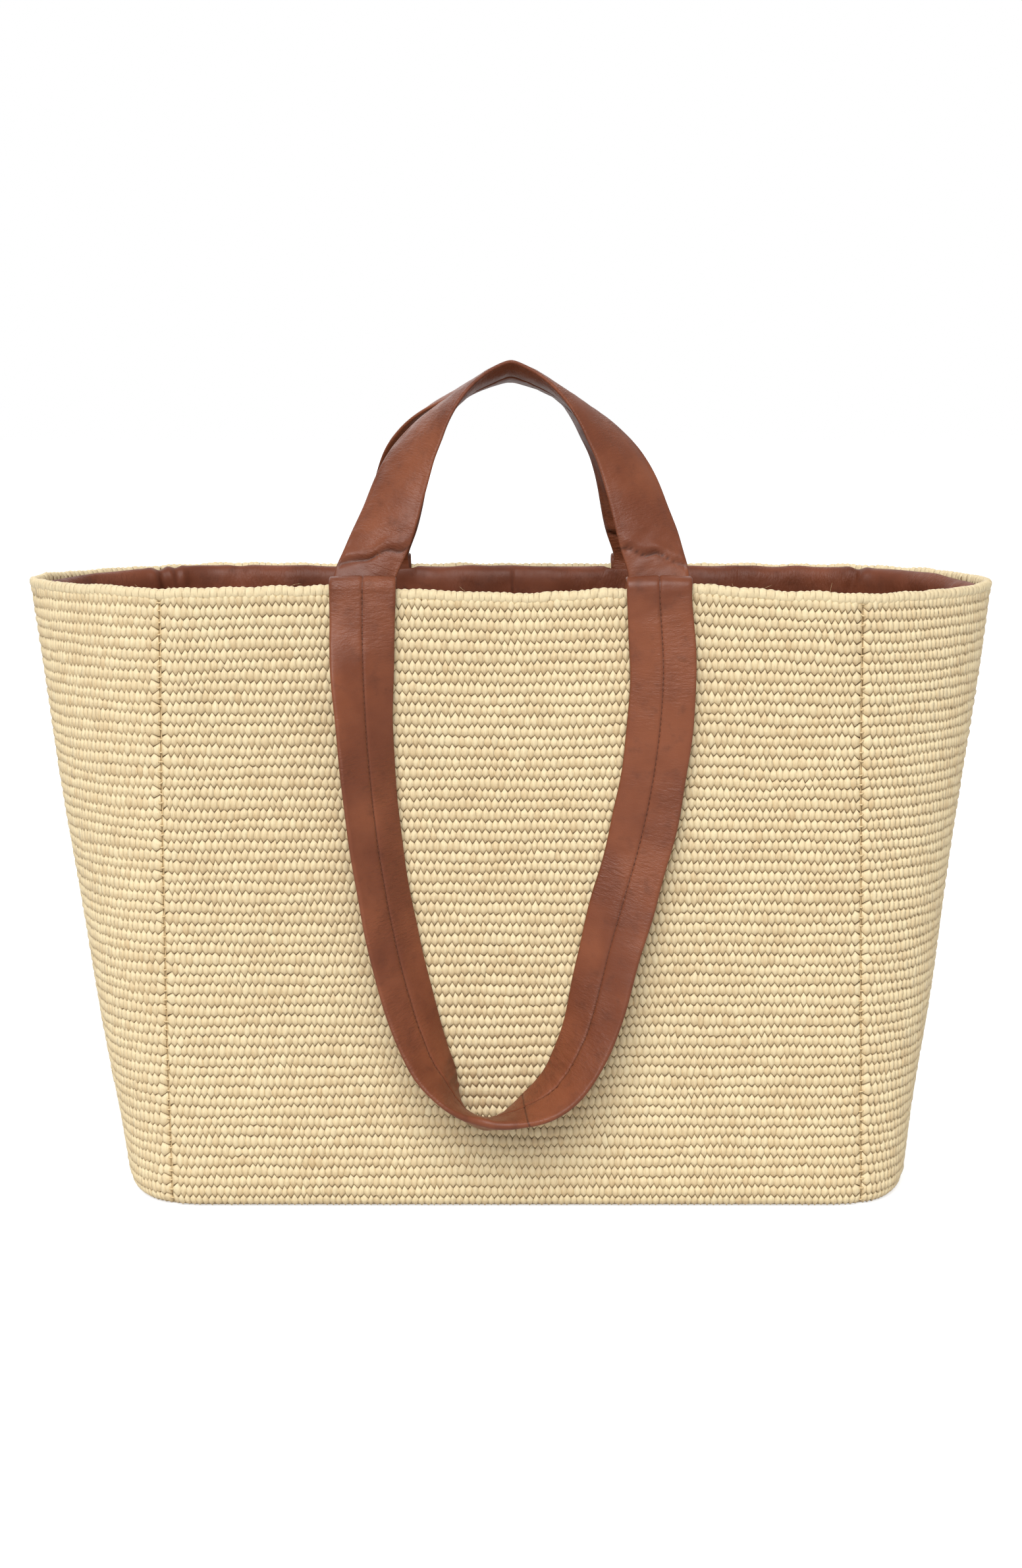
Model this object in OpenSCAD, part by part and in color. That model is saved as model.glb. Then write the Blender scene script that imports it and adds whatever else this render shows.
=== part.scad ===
// Straw beach tote with leather handles and straps.
// Origin: middle of the underside of the base. +X right, +Y to the back, +Z up.
// The back half is the front half turned half a turn about Z.

/* [Body] */
// Width across the rim, tip to tip
rim_w = 500; // [430:5:560]
// Width across the base
base_w = 406; // [360:2:420]
// Depth from the front wall to the back wall
depth = 176; // [160:2:200]
// Height of the straw rim above the floor
rim_h = 311; // [290:1:340]
// Width of the front and back panels at the rim, seam to seam
panel_rim_w = 342; // [330:2:350]
// Width of the front and back panels at the base, seam to seam
panel_base_w = 350; // [340:2:356]
// How far the side walls swell between the base and the rim
side_swell = 1.5; // [0:0.5:4]
// How far the walls turn in where they meet the floor
foot_turn = 2; // [1:0.5:3]

/* [Layers] */
// Thickness of the woven straw
straw_t = 4.5; // [3.5:0.1:4.6]
// Thickness of the padding under the leather facing
padding_t = 6.6; // [6.6:0.1:7.2]
// Thickness of the leather facing
facing_t = 1.5; // [1:0.1:2]
// Height of the leather facing inside the rim
facing_h = 58; // [50:1:70]
// Thickness of the lining cloth
lining_t = 0.8; // [0.5:0.1:1]
// Thickness of the stiffening board in the base
board_t = 2; // [1:0.5:3]
// Gap left between neighbouring layers
gap = 0.2; // [0.1:0.05:0.3]

/* [Straps and handles] */
// Width of the leather ribbon
ribbon_w = 32; // [28:1:34]
// Distance from the middle of the bag to the middle of each strap end
strap_x = 71.5; // [68:0.5:76]
// Thickness of a long strap
strap_t = 3.4; // [3:0.1:3.6]
// Height of the strap's fold above the rim
strap_rise = 7; // [6.5:0.5:9]
// Thickness of a padded handle
handle_t = 6; // [5:0.5:7]
// Height of a handle's middle line above its hinge
handle_h = 105; // [95:1:120]
// How far each handle leans in over the opening at rest
handle_lean = 20; // [16:1:24]
// Thickness of the leather
leather_t = 1.1; // [0.8:0.1:1.2]
// Depth to which the strap and handle ends are sewn in below the rim
end_depth = 48; // [40:1:50]

/* [Hidden] */

straw = [0.87, 0.78, 0.58];
straw_thread = [0.80, 0.70, 0.50];
tan_leather = [0.55, 0.29, 0.18];
dark_leather = [0.42, 0.21, 0.13];
leather_thread = [0.33, 0.15, 0.09];
foam = [0.85, 0.82, 0.74];
cloth = [0.78, 0.68, 0.52];
board = [0.45, 0.38, 0.30];

// Plan outline: flat front and back, and ends that are superellipses
rim_power = 1.6;       // boat-shaped ends at the rim
base_power = 3;        // fuller, rounded-square ends at the base
rim_flat = 157;        // half length of the flat front at the rim
base_flat = 150;       // half length of the flat front at the base
foot_h = 10;           // height over which the walls turn in
outline_steps = 24;    // points along one curved quarter of the outline

// Sides of the bag, as quarter turns of the outline counted from the front
FRONT = 0;
RIGHT = 1;
BACK = 2;
LEFT = -1;

panel_columns = 16;
seam_half = 0.8;       // half width of the slot between two panels, where the seam cord lies
facing_drop = 3.6;     // the facing's top edge below the rim

layer_in = straw_t + gap;                      // outer side of the padding
strap_end_t = 3;
strap_end_in = layer_in + strap_end_t;         // inner side of a strap end
handle_end_out = strap_end_in + 0.6;
handle_end_t = 3;
facing_out = layer_in + padding_t + gap;       // outer side of the facing
facing_in = facing_out + facing_t;
facing_top = rim_h - facing_drop;
facing_foot = facing_top - facing_h;

// Heights shared by the layers of the wall, so that their facets run side by side
low_levels = [foot_h, 60, 120, 180];
padding_levels = [facing_foot + 4, facing_foot + facing_h / 2, facing_top - 1.8];
wall_levels = concat([0, 3], low_levels, padding_levels, [rim_h]);

board_z = straw_t + gap;
base_lining_z = board_z + board_t + gap;

wall_y = depth / 2;
strap_clear = 0.6;                             // air between a hanging strap and the wall
strap_in_y = wall_y - layer_in - strap_end_t / 2;   // middle line of a sewn-in strap end
strap_out_y = wall_y + strap_clear + strap_t / 2;   // middle line of a hanging strap
fold_r = (strap_out_y - strap_in_y) / 2;            // middle radius of the fold over the rim
strap_axis_y = (strap_out_y + strap_in_y) / 2;
strap_axis_z = rim_h + strap_rise - fold_r - strap_end_t / 2;
handle_axis_y = wall_y - handle_end_out - handle_end_t / 2;
handle_axis_z = rim_h + 4;
hinge_gap = 0.4;                               // air between a sewn end and what swings from it
core_gap = 0.15;
thread_w = 0.7;
thread_lift = 0.35;                            // middle of a stitching line above the leather

// The front strap's middle line, from its left hinge to its right hinge:
// distance right, drop below the hinge, and turn about its own length in degrees
strap_line = [
    [-strap_x, 0, 0], [-strap_x, 5, 0], [-71.7, 20, 8], [-72, 42, 30], [-71, 72, 42], [-69, 104, 46],
    [-65.5, 136, 50], [-60, 168, 50], [-53, 200, 52], [-43.5, 229, 62], [-29, 251, 78],
    [-10, 260, 88],
    [8, 259, 88], [24, 250, 80], [36.5, 232, 62], [46.5, 203, 38], [55, 169, 20],
    [63.5, 136, 12], [69.5, 104, 8], [73, 72, 6], [73.8, 42, 4],
    [72.5, 20, 1], [strap_x, 5, 0], [strap_x, 0, 0]];
strap_rings = [26, 24];  // rings in the left and right half of a strap
strap_join = 0.52;       // where the two halves meet, as a share of its line
join_gap = 0.0005;

// One leg of a handle, from its hinge to the crown, in the handle's own leaning plane:
// distance from the middle, height above the hinge as a share, turn in degrees, thickness share
handle_leg = [
    [strap_x, 0, 0, 0.5], [strap_x, 0.04, 0, 0.5], [70, 0.10, 3, 0.7], [66.5, 0.17, 10, 0.9],
    [64.5, 0.24, 19, 1],
    [61, 0.35, 33, 1], [56.5, 0.48, 44, 1], [50.5, 0.61, 55, 1], [42.5, 0.73, 66, 1],
    [32, 0.84, 76, 1], [17.5, 0.945, 84, 1], [0, 1, 90, 1]];
handle_rings = 40;

function mix(a, b, t) = a + (b - a) * t;
function flip(p) = [for (i = [len(p) - 1:-1:0]) p[i]];

// Smooth curve through the rows of a list, at t from 0 to 1
function curve(p, t) =
    let (n = len(p) - 1, i = min(floor(t * n), n - 1), f = t * n - i,
         a = p[max(i - 1, 0)], b = p[i], c = p[i + 1], d = p[min(i + 2, n)])
    (2 * b + (c - a) * f + (2 * a - 5 * b + 4 * c - d) * f * f
        + (3 * b - a - 3 * c + d) * f * f * f) / 2;

function half_w(v) = mix(base_w, rim_w, v) / 2 + side_swell * sin(180 * v);
function flat_x(v) = mix(base_flat, rim_flat, v);
function seam_x(v) = mix(panel_base_w, panel_rim_w, v) / 2;
function inset(z) = z < foot_h ? foot_turn * pow(1 - z / foot_h, 2) : 0;

// Quarter of the outline at height share v, from the middle of the front to the right tip
function quarter(v) =
    let (p = 2 / mix(base_power, rim_power, v), a = half_w(v) - flat_x(v))
    [[0, -wall_y],
     for (i = [0:outline_steps]) let (t = 90 * i / outline_steps)
        [flat_x(v) + a * pow(sin(t), p), -wall_y * pow(cos(t), p)]];
function distances(p) = [
    for (i = 0, s = 0; i < len(p); i = i + 1, s = i < len(p) ? s + norm(p[i] - p[i - 1]) : s) s];

// What one level needs: distance to x, distance to y, a quarter's length, distance to the seam
function level(v) =
    let (p = quarter(v), s = distances(p))
    [[for (i = [0:len(p) - 1]) [s[i], p[i][0]]],
     [for (i = [0:len(p) - 1]) [s[i], p[i][1]]],
     s[len(s) - 1],
     lookup(seam_x(v), [for (i = [0:len(p) - 1]) [p[i][0], s[i]]])];

// Point at signed distance s round the outline from the middle of the front
function outline_at(l, s) =
    let (q = l[2], r = s > 2 * q ? s - 4 * q : s, m = abs(r),
         back = m > q, n = back ? 2 * q - m : m)
    [sign(r) * lookup(n, l[0]), (back ? -1 : 1) * lookup(n, l[1])];

// The same point moved in from the outline by the distance off
function inner_at(l, s, off) =
    let (d = outline_at(l, s + 1.5) - outline_at(l, s - 1.5), u = d / norm(d))
    outline_at(l, s) + off * [-u[1], u[0]];

// Two triangles between edge a-b of one ring and the same edge of the next, n points on.
// The two faces of a thin twisted piece are split along the same diagonal.
function split(a, b, n, first) =
    first ? [[a, a + n, b + n], [a, b + n, b]] : [[a, a + n, b], [b, a + n, b + n]];

// Closed solid through a list of rings, each with the same even number of points.
// Opposite points i and n-1-i of an end ring are joined to close it.
module skin(rings) {
    n = len(rings[0]);
    top = (len(rings) - 1) * n;
    sides = [for (r = [0:len(rings) - 2], i = [0:n - 1])
        let (a = r * n + i, b = r * n + (i + 1) % n)
        each split(a, b, n, i < n / 2)];
    ends = [for (i = [0:n / 2 - 2])
        let (a = i, b = i + 1, c = n - 2 - i, d = n - 1 - i)
        each [[a, b, c], [a, c, d], [top + c, top + b, top + a], [top + d, top + c, top + a]]];
    polyhedron([for (r = rings) each r], concat(sides, ends));
}

// Open-ended hollow solid between two lists of rings
module sleeve(outer, inner) {
    n = len(outer[0]);
    m = len(outer);
    shift = m * n;
    walls = [for (r = [0:m - 2], i = [0:n - 1])
        let (a = r * n + i, b = r * n + (i + 1) % n)
        each concat(split(a, b, n, i < n / 2),
                    [for (f = split(shift + a, shift + b, n, i < n / 2)) flip(f)])];
    ends = [for (i = [0:n - 1])
        let (a = i, b = (i + 1) % n, c = (m - 1) * n + i, d = (m - 1) * n + (i + 1) % n)
        each [[a, b, shift + b], [a, shift + b, shift + a],
              [c, shift + d, d], [c, shift + c, shift + d]]];
    polyhedron([for (r = outer) each r, for (r = inner) each r], concat(walls, ends));
}

// Part of the wall on one side. rows lists [height, outer offset, inner offset] from low to high.
// trim narrows it at both seams. With a width, it is a strip of that width at the seam instead.
module wall(side, rows, columns, trim = seam_half, width = 0) {
    levels = [for (r = rows) level(r[0] / rim_h)];
    rings = [for (c = [0:columns])
        let (outer = [for (i = [0:len(rows) - 1]) row_point(side, rows[i], 1, levels[i],
                                                            c / columns, trim, width)],
             inner = [for (i = [0:len(rows) - 1]) row_point(side, rows[i], 2, levels[i],
                                                            c / columns, trim, width)])
        concat(outer, flip(inner))];
    skin(rings);
}
function row_point(side, row, layer, l, t, trim, width) =
    let (half = abs(side) == 1 ? l[2] - l[3] : l[3],
         s = width > 0 ? side * l[2] + half + width * (t - 0.5)
                       : side * l[2] + (half - trim) * (2 * t - 1),
         p = inner_at(l, s, row[layer] + inset(row[0])))
    [p[0], p[1], row[0]];

// Flat outline of the inside of the wall at height z, moved in by off
module floor_shape(z, off) {
    l = level(z / rim_h);
    steps = 72;
    polygon([for (i = [0:steps - 1]) inner_at(l, l[2] * (4 * i / steps - 2) + 0.01, off)]);
}

// ---- Straw body ----

module panel(side) {
    color(straw) wall(side, [for (z = wall_levels) [z, 0, straw_t]], panel_columns);
}
module front_panel() panel(FRONT);
module back_panel() panel(BACK);
module left_side_panel() panel(LEFT);
module right_side_panel() panel(RIGHT);

base_off = foot_turn + straw_t + 1.3;
module base_panel() {
    color(straw) linear_extrude(straw_t) floor_shape(0, base_off);
}

module panel_seam_threads() {
    cord_rows = [for (z = [foot_h, 60, 120, 180, 240, rim_h - 2]) [z, 0.5, straw_t - 0.5]];
    color(straw_thread) for (side = [FRONT, RIGHT, BACK, LEFT])
        wall(side, cord_rows, 1, width = 1.2);
}

module base_seam_thread() {
    color(straw_thread) translate([0, 0, 1]) linear_extrude(2.4) difference() {
        floor_shape(0, base_off - 0.9);
        floor_shape(0, base_off - 0.2);
    }
}

// ---- Inside ----

// Slots through which the strap and handle ends of one side pass
module end_slots(side) {
    turn = side == BACK ? 180 : 0;
    if (side == FRONT || side == BACK) rotate(turn) for (x = [-strap_x, strap_x])
        translate([x - ribbon_w / 2 - 1, -wall_y, rim_h - end_depth - 4])
            cube([ribbon_w + 2, facing_out - gap / 2, end_depth + 10]);
}

module facing(side) {
    lip = 1.4;
    color(dark_leather) difference() {
        wall(side, [[facing_foot, facing_out, facing_in],
                    [facing_foot + facing_h / 2, facing_out, facing_in],
                    [facing_top - lip - 0.1, facing_out, facing_in],
                    [facing_top - lip, layer_in + gap, facing_in],
                    [facing_top, layer_in + gap, facing_in - 0.6]],
             panel_columns, trim = 0.2);
        end_slots(side);
    }
}
module front_facing() facing(FRONT);
module back_facing() facing(BACK);
module left_facing() facing(LEFT);
module right_facing() facing(RIGHT);

module padding(side) {
    color(foam) difference() {
        wall(side, [for (z = padding_levels) [z, layer_in, facing_out - gap]], panel_columns);
        end_slots(side);
    }
}
module front_padding() padding(FRONT);
module back_padding() padding(BACK);
module left_padding() padding(LEFT);
module right_padding() padding(RIGHT);

module lining(side) {
    low = layer_in + gap;
    top = facing_foot - gap;
    foot = base_lining_z + lining_t + gap;
    color(cloth) wall(side, [for (z = concat([foot], low_levels)) [z, low, low + lining_t],
                             [top, facing_out, facing_out + lining_t]],
                      panel_columns);
}
module front_lining() lining(FRONT);
module back_lining() lining(BACK);
module left_lining() lining(LEFT);
module right_lining() lining(RIGHT);

module base_lining() {
    color(cloth) translate([0, 0, base_lining_z]) linear_extrude(lining_t)
        floor_shape(base_lining_z, foot_turn + layer_in + gap);
}
module base_board() {
    color(board) translate([0, 0, board_z]) linear_extrude(board_t)
        floor_shape(board_z, foot_turn + layer_in + 2);
}

// ---- Sewn-in ends ----

// A strap end comes up inside the straw to the height of the fold
module strap_end(x, turn) {
    low = rim_h - end_depth;
    color(tan_leather) rotate(turn)
        translate([x - ribbon_w / 2, -strap_in_y - strap_end_t / 2, low])
            cube([ribbon_w, strap_end_t, strap_axis_z - hinge_gap - low]);
}
module front_left_strap_end() strap_end(-strap_x, 0);
module front_right_strap_end() strap_end(strap_x, 0);
module back_left_strap_end() strap_end(strap_x, 180);
module back_right_strap_end() strap_end(-strap_x, 180);

// The folds of one strap over the rim. They bend as the strap swings about their middle.
module strap_folds(turn) {
    start = 6;
    color(tan_leather) rotate(turn) for (x = [-strap_x, strap_x])
        translate([x - ribbon_w / 2, -strap_axis_y, strap_axis_z])
            rotate([90, 0, 90]) rotate_extrude(angle = 180 - 2 * start, start = start, $fn = 48)
                translate([fold_r - strap_end_t / 2, 0]) square([strap_end_t, ribbon_w]);
}
module front_strap_folds() strap_folds(0);
module back_strap_folds() strap_folds(180);

module handle_end(x, turn) {
    top = handle_axis_z - handle_end_t / 2 - hinge_gap;
    color(tan_leather) rotate(turn)
        translate([x - ribbon_w / 2, -wall_y + handle_end_out, rim_h - end_depth])
            cube([ribbon_w, handle_end_t, top - rim_h + end_depth]);
}
module front_left_handle_end() handle_end(-strap_x, 0);
module front_right_handle_end() handle_end(strap_x, 0);
module back_left_handle_end() handle_end(strap_x, 180);
module back_right_handle_end() handle_end(-strap_x, 180);

// Box stitch that holds each pair of ends, seen on the leather facing
module box_stitch() {
    w = ribbon_w - 5;
    h = end_depth - 14;
    difference() {
        cube([w, thread_w, h], center = true);
        cube([w - 2 * thread_w, 2 * thread_w, h - 2 * thread_w], center = true);
    }
}
module end_stitching() {
    z = facing_top - 8 - (end_depth - 14) / 2;
    color(leather_thread) for (turn = [0, 180], x = [-strap_x, strap_x])
        rotate(turn) translate([x, -wall_y + facing_in + thread_w / 2 + 0.1, z]) box_stitch();
}

// ---- Ribbons ----

// Flat section with cut corners, w wide and t thick, in the plane of the directions across and up.
// It has a point in the middle of each face, where the stitching lies.
function ribbon_ring(c, across, up, w, t) =
    let (a = w / 2, b = a - t / 3, h = t / 2, k = t / 5)
    [for (p = [[a, k], [b, h], [0, h], [-b, h], [-a, k], [-a, -k], [-b, -h], [0, -h], [b, -h], [a, -k]])
        c + p[0] * across + p[1] * up];

// Strap frame at t: middle, direction across towards its outer edge, direction of its sewn face
function strap_frame(t) =
    let (p = curve(strap_line, t), q = curve(strap_line, min(t + 0.005, 1)),
         r = curve(strap_line, max(t - 0.005, 0)),
         along = [q[0] - r[0], 0, r[1] - q[1]] / norm([q[0] - r[0], r[1] - q[1]]),
         outward = [along[2], 0, -along[0]],
         y = -wall_y - strap_clear - ribbon_w / 2 * sin(p[2]) - strap_t / 2 * cos(p[2]))
    [[p[0], y, strap_axis_z - p[1]],
     cos(p[2]) * outward + sin(p[2]) * [0, -1, 0],
     cos(p[2]) * [0, -1, 0] - sin(p[2]) * outward];

// Frames of the left half (0) or the right half (1) of the strap, without skip frames at each end
function strap_frames(half, skip = 0) =
    let (t0 = half == 0 ? 0 : strap_join + join_gap, t1 = half == 0 ? strap_join - join_gap : 1,
         n = strap_rings[half])
    [for (i = [skip:n - skip]) strap_frame(mix(t0, t1, i / n))];
function strap_shape(frames, shrink) = [
    for (f = frames) ribbon_ring(f[0], f[1], f[2], ribbon_w - shrink, strap_t - shrink)];

module strap_half(half) {
    color(tan_leather) sleeve(strap_shape(strap_frames(half), 0),
                              strap_shape(strap_frames(half), 2 * leather_t));
}
module strap_core(half) {
    color(foam) skin(strap_shape(strap_frames(half, 1), 2 * (leather_t + core_gap)));
}
module strap_stitching() {
    color(leather_thread) for (half = [0, 1])
        skin([for (f = strap_frames(half, 1))
            ribbon_ring(f[0] + (strap_t / 2 + thread_lift) * f[2], f[1], f[2], thread_w, 0.5)]);
}

module front_strap_left() strap_half(0);
module front_strap_right() strap_half(1);
module front_strap_left_core() strap_core(0);
module front_strap_right_core() strap_core(1);
module front_strap_stitching() strap_stitching();
module back_strap_left() rotate(180) front_strap_right();
module back_strap_right() rotate(180) front_strap_left();
module back_strap_left_core() rotate(180) front_strap_right_core();
module back_strap_right_core() rotate(180) front_strap_left_core();
module back_strap_stitching() rotate(180) strap_stitching();

// Handle frame at t, from the left hinge to the right hinge, in its own leaning plane:
// middle, direction towards the edge that faces forward at the crown, outer face, thickness share
function handle_row(t) =
    let (p = curve(handle_leg, 1 - abs(2 * t - 1)))
    [(t < 0.5 ? -1 : 1) * p[0], p[1] * handle_h, p[2], p[3]];
function handle_frame(t) =
    let (p = handle_row(t), q = handle_row(min(t + 0.005, 1)), r = handle_row(max(t - 0.005, 0)),
         d = [q[0] - r[0], q[1] - r[1]], u = d / norm(d), outward = [-u[1], 0, u[0]])
    [[p[0], 0, p[1]],
     sin(p[2]) * [0, -1, 0] - cos(p[2]) * outward,
     cos(p[2]) * [0, -1, 0] + sin(p[2]) * outward,
     p[3]];
function handle_frames(skip = 0) = [
    for (i = [skip:handle_rings - skip]) handle_frame(i / handle_rings)];
function handle_shape(frames, shrink) = [
    for (f = frames) ribbon_ring(f[0], f[1], f[2], ribbon_w - shrink, handle_t * f[3] - shrink)];
module lean() {
    translate([0, -handle_axis_y, handle_axis_z]) rotate([-handle_lean, 0, 0]) children();
}

module front_handle_cover() {
    color(tan_leather) lean()
        sleeve(handle_shape(handle_frames(), 0), handle_shape(handle_frames(), 2 * leather_t));
}
module front_handle_core() {
    color(foam) lean() skin(handle_shape(handle_frames(2), 2 * (leather_t + core_gap)));
}
module front_handle_stitching() {
    color(leather_thread) lean() skin([for (f = handle_frames(2))
        ribbon_ring(f[0] - (handle_t * f[3] / 2 + thread_lift) * f[2], f[1], f[2], thread_w, 0.5)]);
}
module back_handle_cover() rotate(180) front_handle_cover();
module back_handle_core() rotate(180) front_handle_core();
module back_handle_stitching() rotate(180) front_handle_stitching();

front_panel();
back_panel();
left_side_panel();
right_side_panel();
base_panel();
panel_seam_threads();
base_seam_thread();
front_facing();
back_facing();
left_facing();
right_facing();
front_padding();
back_padding();
left_padding();
right_padding();
front_lining();
back_lining();
left_lining();
right_lining();
base_lining();
base_board();
front_left_strap_end();
front_right_strap_end();
back_left_strap_end();
back_right_strap_end();
front_strap_folds();
back_strap_folds();
front_left_handle_end();
front_right_handle_end();
back_left_handle_end();
back_right_handle_end();
end_stitching();
front_handle_cover();
front_handle_core();
front_handle_stitching();
back_handle_cover();
back_handle_core();
back_handle_stitching();
front_strap_left();
front_strap_right();
front_strap_left_core();
front_strap_right_core();
front_strap_stitching();
back_strap_left();
back_strap_right();
back_strap_left_core();
back_strap_right_core();
back_strap_stitching();
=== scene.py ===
"""Straw beach tote with two padded leather handles and two long straps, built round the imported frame.

Lengths are millimetres in the row frame (+X right, +Y to the back, +Z up) until a mesh is made.
The walls are described by a side, a distance a along the row from the middle of that side,
a height z, and an offset in from the outside of the straw."""
import math

import bpy
import numpy as np
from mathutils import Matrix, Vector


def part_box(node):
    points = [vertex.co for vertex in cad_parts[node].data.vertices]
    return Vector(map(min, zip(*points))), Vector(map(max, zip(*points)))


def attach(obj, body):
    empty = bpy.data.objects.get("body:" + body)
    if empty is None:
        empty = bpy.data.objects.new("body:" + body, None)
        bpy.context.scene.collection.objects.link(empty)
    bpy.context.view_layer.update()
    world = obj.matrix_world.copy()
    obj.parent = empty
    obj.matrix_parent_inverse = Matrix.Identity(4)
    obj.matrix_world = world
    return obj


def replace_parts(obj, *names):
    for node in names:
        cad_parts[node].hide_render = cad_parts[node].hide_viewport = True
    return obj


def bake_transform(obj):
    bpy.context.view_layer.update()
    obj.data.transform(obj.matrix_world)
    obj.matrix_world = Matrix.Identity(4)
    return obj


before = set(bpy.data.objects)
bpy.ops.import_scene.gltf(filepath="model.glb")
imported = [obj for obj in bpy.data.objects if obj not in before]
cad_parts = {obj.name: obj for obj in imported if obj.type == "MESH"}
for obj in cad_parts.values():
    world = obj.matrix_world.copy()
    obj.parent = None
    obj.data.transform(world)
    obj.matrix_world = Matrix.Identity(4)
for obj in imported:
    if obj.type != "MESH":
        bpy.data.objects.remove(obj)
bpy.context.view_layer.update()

MM = 0.001
FRONT, RIGHT, BACK, LEFT = 0, 1, 2, -1  # sides, as quarter turns of the outline


def node_box(name):
    low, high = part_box(name)
    return np.array(low) / MM, np.array(high) / MM


# ---- Sizes, as in the CAD ----
wall_low, wall_high = node_box("front_panel")
WALL_Y = -wall_low[1]  # outside of the front wall
RIM_H = wall_high[2]
RIM_HALF = node_box("right_side_panel")[1][0]
BASE_HALF = node_box("base_panel")[1][0] + 7.8
RIM_FLAT, BASE_FLAT = 157, 150  # half length of the straight front, at the rim and base
RIM_POWER, BASE_POWER = 1.6, 3  # superellipse powers of the ends
SEAM_RIM, SEAM_BASE = 171, 175  # seams between the panels, from the middle
SIDE_SWELL = 1.5
FOOT_H, FOOT_TURN = 10, 2
STRAW_T = 4.5
FACING_DROP = 3.6
RIBBON_W = 32
END_DEPTH = 48
STRAP_X, STRAP_T, STRAP_IN_T = 71.5, 3.4, 3.0
STRAP_OUT_Y = WALL_Y + 0.6 + STRAP_T / 2  # middle line of a hanging strap
STRAP_IN_Y = WALL_Y - STRAW_T - 0.2 - STRAP_IN_T / 2  # middle line of its sewn-in ends
FOLD_R = (STRAP_OUT_Y - STRAP_IN_Y) / 2
FOLD_Y = (STRAP_OUT_Y + STRAP_IN_Y) / 2
FOLD_Z = RIM_H + 7 - FOLD_R - STRAP_IN_T / 2
HANDLE_T, HANDLE_H, HANDLE_LEAN = 6, 105, 20
HANDLE_Y, HANDLE_Z = WALL_Y - 9.8, RIM_H + 4  # where a handle bends

# ---- Weave ----
STITCH_W = 3.2
ROWS = 59
ROW_BOTTOM, ROW_TOP = 0.8, RIM_H - 3.6
ROW_H = (ROW_TOP - ROW_BOTTOM) / ROWS
ZIGZAG = 2.2  # how far the stitches of neighbouring rows interlock
SEAM_SLOT = 0.5


# ---- Small tools ----

def smooth_noise(seed, *axes):
    """Smooth noise from about -1 to 1, with a wavelength near 1 along each axis."""
    random = np.random.default_rng(seed)
    total = 0
    for _ in range(9):
        wave = random.normal(0, 1, len(axes))
        wave *= 2 * math.pi * random.uniform(0.5, 1.5) / np.linalg.norm(wave)
        total = total + np.sin(sum(w * c for w, c in zip(wave, axes)) + random.uniform(0, 6.28))
    return total / 4.2


def bell(distance, width):
    return np.exp(-(distance / width) ** 2)


def ramp(value, low, high):
    t = np.clip((value - low) / (high - low), 0, 1)
    return t * t * (3 - 2 * t)


def unit(v):
    return v / np.linalg.norm(v, axis=-1, keepdims=True)


def volume(points, faces):
    """Six times the volume inside closed faces, less than 0 if they face inward."""
    return sum(np.sum(points[f[:, 0]] * np.cross(points[f[:, i]], points[f[:, i + 1]]))
               for f in faces for i in range(1, f.shape[1] - 1))


def make_piece(name, points, faces, material, **values):
    """A mesh object from points in millimetres and arrays of faces. values are point attributes."""
    mesh = bpy.data.meshes.new(name)
    points = np.asarray(points, float)
    faces = [np.asarray(f) for f in faces if len(f)]
    if volume(points, faces) < 0:
        faces = [f[:, ::-1] for f in faces]
    corners = np.concatenate([f.ravel() for f in faces])
    sizes = np.concatenate([np.full(len(f), f.shape[1]) for f in faces])
    mesh.vertices.add(len(points))
    mesh.vertices.foreach_set("co", (points * MM).astype(np.float32).ravel())
    mesh.loops.add(len(corners))
    mesh.loops.foreach_set("vertex_index", corners.astype(np.int32))
    mesh.polygons.add(len(sizes))
    mesh.polygons.foreach_set("loop_start", (np.cumsum(sizes) - sizes).astype(np.int32))
    mesh.update(calc_edges=True)
    mesh.polygons.foreach_set("use_smooth", np.full(len(sizes), True))
    for key, value in values.items():
        value = np.asarray(value, np.float32)
        kind, slot = ("FLOAT", "value") if value.ndim == 1 else ("FLOAT_VECTOR", "vector")
        mesh.attributes.new(key, kind, "POINT").data.foreach_set(slot, value.ravel())
    mesh.validate()
    mesh.materials.append(material)
    piece = bpy.data.objects.new(name, mesh)
    bpy.context.scene.collection.objects.link(piece)
    return piece


def grid_faces(rows, columns, close_rows=False, close_columns=False):
    """Quads of a grid of points, stored row by row, closed round in either direction."""
    r = np.arange(rows if close_rows else rows - 1)[:, None]
    c = np.arange(columns if close_columns else columns - 1)[None, :]
    r2, c2 = (r + 1) % rows, (c + 1) % columns
    quads = [r * columns + c, r * columns + c2, r2 * columns + c2, r2 * columns + c]
    return np.stack([np.broadcast_to(q, (r.size, c.size)) for q in quads], -1).reshape(-1, 4)


# ---- Materials ----

def new_material(name, roughness, specular=0.5):
    """An empty material with its shader, and a function that adds a node with linked inputs."""
    material = bpy.data.materials.new(name)
    material.use_nodes = True
    tree = material.node_tree
    shader = tree.nodes["Principled BSDF"]
    shader.inputs["Roughness"].default_value = roughness
    shader.inputs["Specular IOR Level"].default_value = specular

    def add(kind, values=None, **settings):
        node = tree.nodes.new(kind)
        for key, value in settings.items():
            setattr(node, key, value)
        for key, value in (values or {}).items():
            if isinstance(value, bpy.types.NodeSocket):
                tree.links.new(value, node.inputs[key])
            else:
                node.inputs[key].default_value = value
        return node

    def link(output, key):
        tree.links.new(output, shader.inputs[key])
    return material, shader, add, link


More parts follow.
